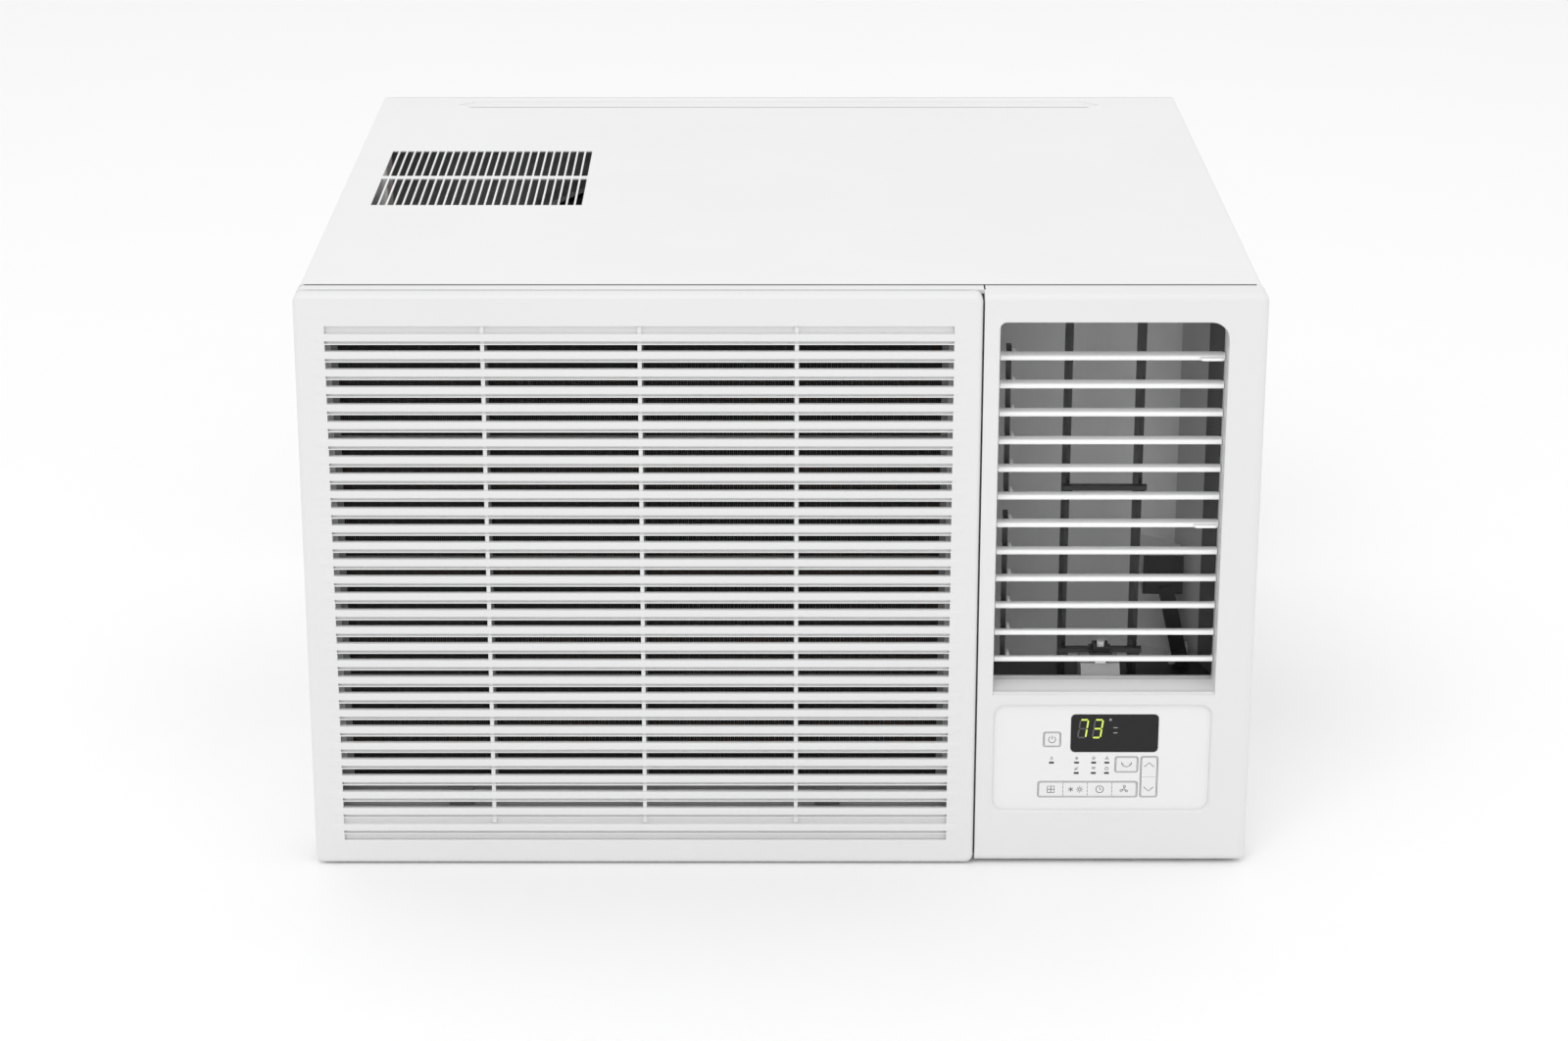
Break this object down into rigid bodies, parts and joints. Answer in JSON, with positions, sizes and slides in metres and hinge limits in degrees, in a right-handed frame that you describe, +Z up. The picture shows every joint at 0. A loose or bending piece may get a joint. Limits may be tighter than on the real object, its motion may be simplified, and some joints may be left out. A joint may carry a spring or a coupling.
{
  "type": "window air conditioner",
  "caption": "Window air conditioner: sheet-steel sleeve, slide-out chassis, hinged inlet grille, louvred outlet with swing vanes, keypad.",
  "frame": {"origin": "middle of the footprint, on the surface that the cabinet stands on", "axes": "+X to the right seen from the room, +Y outdoors (the front faces -Y), +Z up"},
  "size_m": [0.6, 0.56, 0.381],
  "materials": {
    "white_steel": "fine textured powder coat",
    "white_plastic": "moulded, fine satin texture",
    "bright_plastic": "smooth satin",
    "key_plastic": "soft satin",
    "window_black": "gloss, smoked",
    "lens_clear": "gloss",
    "circuit_board": "solder mask",
    "black_plastic": "satin",
    "grey_foam": "moulded foam, matte",
    "zinc_steel": "galvanised",
    "aluminium_fins": "satin",
    "copper_tube": "drawn copper tube",
    "black_shell": "satin enamel",
    "motor_shell": "satin",
    "black_rubber": "matte",
    "mesh_fabric": "woven plastic mesh",
    "shaft_steel": "ground",
    "capacitor_can": "drawn can",
    "grey_plastic": "satin"
  },
  "bodies": {
    "cabinet": {"outer_cabinet": "white_steel"},
    "chassis": {"base_pan": "zinc_steel", "bulkhead": "zinc_steel", "front_panel": "white_plastic", "control_plate": "bright_plastic", "display_window": "window_black", "indicator_lenses": "lens_clear", "display_board": "circuit_board", "outlet_duct": "grey_foam", "swing_motor": "zinc_steel", "swing_bracket": "grey_plastic", "evaporator_coil": "aluminium_fins", "blower_orifice": "grey_foam", "scroll_housing": "grey_foam", "heater_element": "zinc_steel", "fan_motor": "motor_shell", "motor_bracket": "zinc_steel", "fan_shroud": "grey_foam", "condenser_coil": "aluminium_fins", "compressor": "black_shell", "compressor_mounts": "black_rubber", "refrigerant_lines": "copper_tube", "control_box": "zinc_steel", "run_capacitor": "capacitor_can", "cord_grommet": "black_rubber", "bracket_screws": "zinc_steel"},
    "grille": {"inlet_grille": "white_plastic"},
    "air_filter": {"filter_frame": "grey_plastic", "filter_mesh": "mesh_fabric"},
    "louvre_1": {"louvre_1": "bright_plastic"},
    "louvre_2": {"louvre_2": "bright_plastic"},
    "louvre_3": {"louvre_3": "bright_plastic"},
    "louvre_4": {"louvre_4": "bright_plastic"},
    "louvre_5": {"louvre_5": "bright_plastic"},
    "louvre_6": {"louvre_6": "bright_plastic"},
    "louvre_7": {"louvre_7": "bright_plastic"},
    "louvre_8": {"louvre_8": "bright_plastic"},
    "louvre_9": {"louvre_9": "bright_plastic"},
    "louvre_10": {"louvre_10": "bright_plastic"},
    "louvre_11": {"louvre_11": "bright_plastic"},
    "louvre_12": {"louvre_12": "bright_plastic"},
    "upper_link": {"upper_louvre_link": "black_plastic"},
    "lower_link": {"lower_louvre_link": "black_plastic"},
    "vane_left": {"swing_vane_left": "black_plastic"},
    "vane_right": {"swing_vane_right": "black_plastic"},
    "tie_bar": {"vane_tie_bar": "black_plastic"},
    "drive_link": {"vane_drive_link": "black_plastic"},
    "crank": {"swing_crank": "bright_plastic"},
    "vent_lever": {"vent_lever": "black_plastic"},
    "fan_rotor": {"blower_wheel": "black_plastic", "condenser_fan": "black_plastic", "motor_shaft": "shaft_steel"},
    "power_key": {"power_key": "key_plastic"},
    "filter_key": {"filter_key": "key_plastic"},
    "mode_key": {"mode_key": "key_plastic"},
    "timer_key": {"timer_key": "key_plastic"},
    "fan_speed_key": {"fan_speed_key": "key_plastic"},
    "swing_key": {"swing_key": "key_plastic"},
    "temp_up_key": {"temp_up_key": "key_plastic"},
    "temp_down_key": {"temp_down_key": "key_plastic"}
  },
  "joints": [
    {"name": "chassis_slide", "type": "slide", "parent": "cabinet", "child": "chassis", "axis": [0, -1, 0], "range_m": [0, 0.4]},
    {"name": "grille_hinge", "type": "hinge", "parent": "chassis", "child": "grille", "pos_m": [0, -0.2704, 0.3778], "axis": [-1, 0, 0], "range_deg": [0, 70]},
    {"name": "filter_lift", "type": "slide", "parent": "chassis", "child": "air_filter", "axis": [0, 0, 1], "range_m": [0, 0.006]},
    {"name": "louvre_1_tilt", "type": "hinge", "parent": "chassis", "child": "louvre_1", "pos_m": [0.2055, -0.262, 0.3375], "axis": [-1, 0, 0], "range_deg": [-25, 25]},
    {"name": "louvre_2_tilt", "type": "hinge", "parent": "chassis", "child": "louvre_2", "pos_m": [0.2055, -0.262, 0.3192], "axis": [-1, 0, 0], "range_deg": [-25, 25]},
    {"name": "louvre_3_tilt", "type": "hinge", "parent": "chassis", "child": "louvre_3", "pos_m": [0.2055, -0.262, 0.3009], "axis": [-1, 0, 0], "range_deg": [-25, 25]},
    {"name": "louvre_4_tilt", "type": "hinge", "parent": "chassis", "child": "louvre_4", "pos_m": [0.2055, -0.262, 0.2826], "axis": [-1, 0, 0], "range_deg": [-25, 25]},
    {"name": "louvre_5_tilt", "type": "hinge", "parent": "chassis", "child": "louvre_5", "pos_m": [0.2055, -0.262, 0.2643], "axis": [-1, 0, 0], "range_deg": [-25, 25]},
    {"name": "louvre_6_tilt", "type": "hinge", "parent": "chassis", "child": "louvre_6", "pos_m": [0.2055, -0.262, 0.246], "axis": [-1, 0, 0], "range_deg": [-25, 25]},
    {"name": "louvre_7_tilt", "type": "hinge", "parent": "chassis", "child": "louvre_7", "pos_m": [0.2055, -0.262, 0.2277], "axis": [-1, 0, 0], "range_deg": [-25, 25]},
    {"name": "louvre_8_tilt", "type": "hinge", "parent": "chassis", "child": "louvre_8", "pos_m": [0.2055, -0.262, 0.2094], "axis": [-1, 0, 0], "range_deg": [-25, 25]},
    {"name": "louvre_9_tilt", "type": "hinge", "parent": "chassis", "child": "louvre_9", "pos_m": [0.2055, -0.262, 0.1911], "axis": [-1, 0, 0], "range_deg": [-25, 25]},
    {"name": "louvre_10_tilt", "type": "hinge", "parent": "chassis", "child": "louvre_10", "pos_m": [0.2055, -0.262, 0.1728], "axis": [-1, 0, 0], "range_deg": [-25, 25]},
    {"name": "louvre_11_tilt", "type": "hinge", "parent": "chassis", "child": "louvre_11", "pos_m": [0.2055, -0.262, 0.1545], "axis": [-1, 0, 0], "range_deg": [-25, 25]},
    {"name": "louvre_12_tilt", "type": "hinge", "parent": "chassis", "child": "louvre_12", "pos_m": [0.2055, -0.262, 0.1362], "axis": [-1, 0, 0], "range_deg": [-25, 25]},
    {"name": "upper_link_pivot", "type": "hinge", "parent": "louvre_1", "child": "upper_link", "pos_m": [0.142, -0.251, 0.3375], "axis": [-1, 0, 0], "range_deg": [-25, 25]},
    {"name": "lower_link_pivot", "type": "hinge", "parent": "louvre_7", "child": "lower_link", "pos_m": [0.142, -0.251, 0.2277], "axis": [-1, 0, 0], "range_deg": [-25, 25]},
    {"name": "vane_swing", "type": "hinge", "parent": "chassis", "child": "vane_left", "pos_m": [0.1825, -0.222, 0.235], "axis": [0, 0, 1], "range_deg": [-25, 25]},
    {"name": "vane_right_swing", "type": "hinge", "parent": "chassis", "child": "vane_right", "pos_m": [0.2285, -0.222, 0.235], "axis": [0, 0, 1], "range_deg": [-25, 25]},
    {"name": "tie_bar_pivot", "type": "hinge", "parent": "vane_left", "child": "tie_bar", "pos_m": [0.1825, -0.242, 0.2445], "axis": [0, 0, 1], "range_deg": [-25, 25]},
    {"name": "drive_link_pivot", "type": "hinge", "parent": "vane_left", "child": "drive_link", "pos_m": [0.1825, -0.242, 0.1345], "axis": [0, 0, 1], "range_deg": [-25, 25]},
    {"name": "crank_turn", "type": "hinge", "parent": "chassis", "child": "crank", "pos_m": [0.2055, -0.236, 0.11], "axis": [0, 0, 1], "range_deg": [-58, 58]},
    {"name": "vent_lever_turn", "type": "hinge", "parent": "chassis", "child": "vent_lever", "pos_m": [0.262, -0.1928, 0.114], "axis": [0, -1, 0], "range_deg": [0, 30]},
    {"name": "fan_spin", "type": "hinge", "parent": "chassis", "child": "fan_rotor", "pos_m": [-0.085, 0, 0.18], "axis": [0, 1, 0], "continuous": true},
    {"name": "power_key_press", "type": "slide", "parent": "chassis", "child": "power_key", "axis": [0, 1, 0], "range_m": [0, 0.0005], "stiffness_N_per_m": 3000},
    {"name": "filter_key_press", "type": "slide", "parent": "chassis", "child": "filter_key", "axis": [0, 1, 0], "range_m": [0, 0.0005], "stiffness_N_per_m": 3000},
    {"name": "mode_key_press", "type": "slide", "parent": "chassis", "child": "mode_key", "axis": [0, 1, 0], "range_m": [0, 0.0005], "stiffness_N_per_m": 3000},
    {"name": "timer_key_press", "type": "slide", "parent": "chassis", "child": "timer_key", "axis": [0, 1, 0], "range_m": [0, 0.0005], "stiffness_N_per_m": 3000},
    {"name": "fan_speed_key_press", "type": "slide", "parent": "chassis", "child": "fan_speed_key", "axis": [0, 1, 0], "range_m": [0, 0.0005], "stiffness_N_per_m": 3000},
    {"name": "swing_key_press", "type": "slide", "parent": "chassis", "child": "swing_key", "axis": [0, 1, 0], "range_m": [0, 0.0005], "stiffness_N_per_m": 3000},
    {"name": "temp_up_key_press", "type": "slide", "parent": "chassis", "child": "temp_up_key", "axis": [0, 1, 0], "range_m": [0, 0.0005], "stiffness_N_per_m": 3000},
    {"name": "temp_down_key_press", "type": "slide", "parent": "chassis", "child": "temp_down_key", "axis": [0, 1, 0], "range_m": [0, 0.0005], "stiffness_N_per_m": 3000}
  ],
  "couplings": [
    {"joint": "louvre_2_tilt", "follows": "louvre_1_tilt", "ratio": 1},
    {"joint": "louvre_3_tilt", "follows": "louvre_1_tilt", "ratio": 1},
    {"joint": "louvre_4_tilt", "follows": "louvre_1_tilt", "ratio": 1},
    {"joint": "louvre_5_tilt", "follows": "louvre_1_tilt", "ratio": 1},
    {"joint": "louvre_6_tilt", "follows": "louvre_1_tilt", "ratio": 1},
    {"joint": "upper_link_pivot", "follows": "louvre_1_tilt", "ratio": -1},
    {"joint": "louvre_8_tilt", "follows": "louvre_7_tilt", "ratio": 1},
    {"joint": "louvre_9_tilt", "follows": "louvre_7_tilt", "ratio": 1},
    {"joint": "louvre_10_tilt", "follows": "louvre_7_tilt", "ratio": 1},
    {"joint": "louvre_11_tilt", "follows": "louvre_7_tilt", "ratio": 1},
    {"joint": "louvre_12_tilt", "follows": "louvre_7_tilt", "ratio": 1},
    {"joint": "lower_link_pivot", "follows": "louvre_7_tilt", "ratio": -1},
    {"joint": "vane_right_swing", "follows": "vane_swing", "ratio": 1},
    {"joint": "tie_bar_pivot", "follows": "vane_swing", "ratio": -1},
    {"joint": "drive_link_pivot", "follows": "vane_swing", "ratio": -1},
    {"joint": "crank_turn", "follows": "vane_swing", "ratio": 2.308}
  ]
}
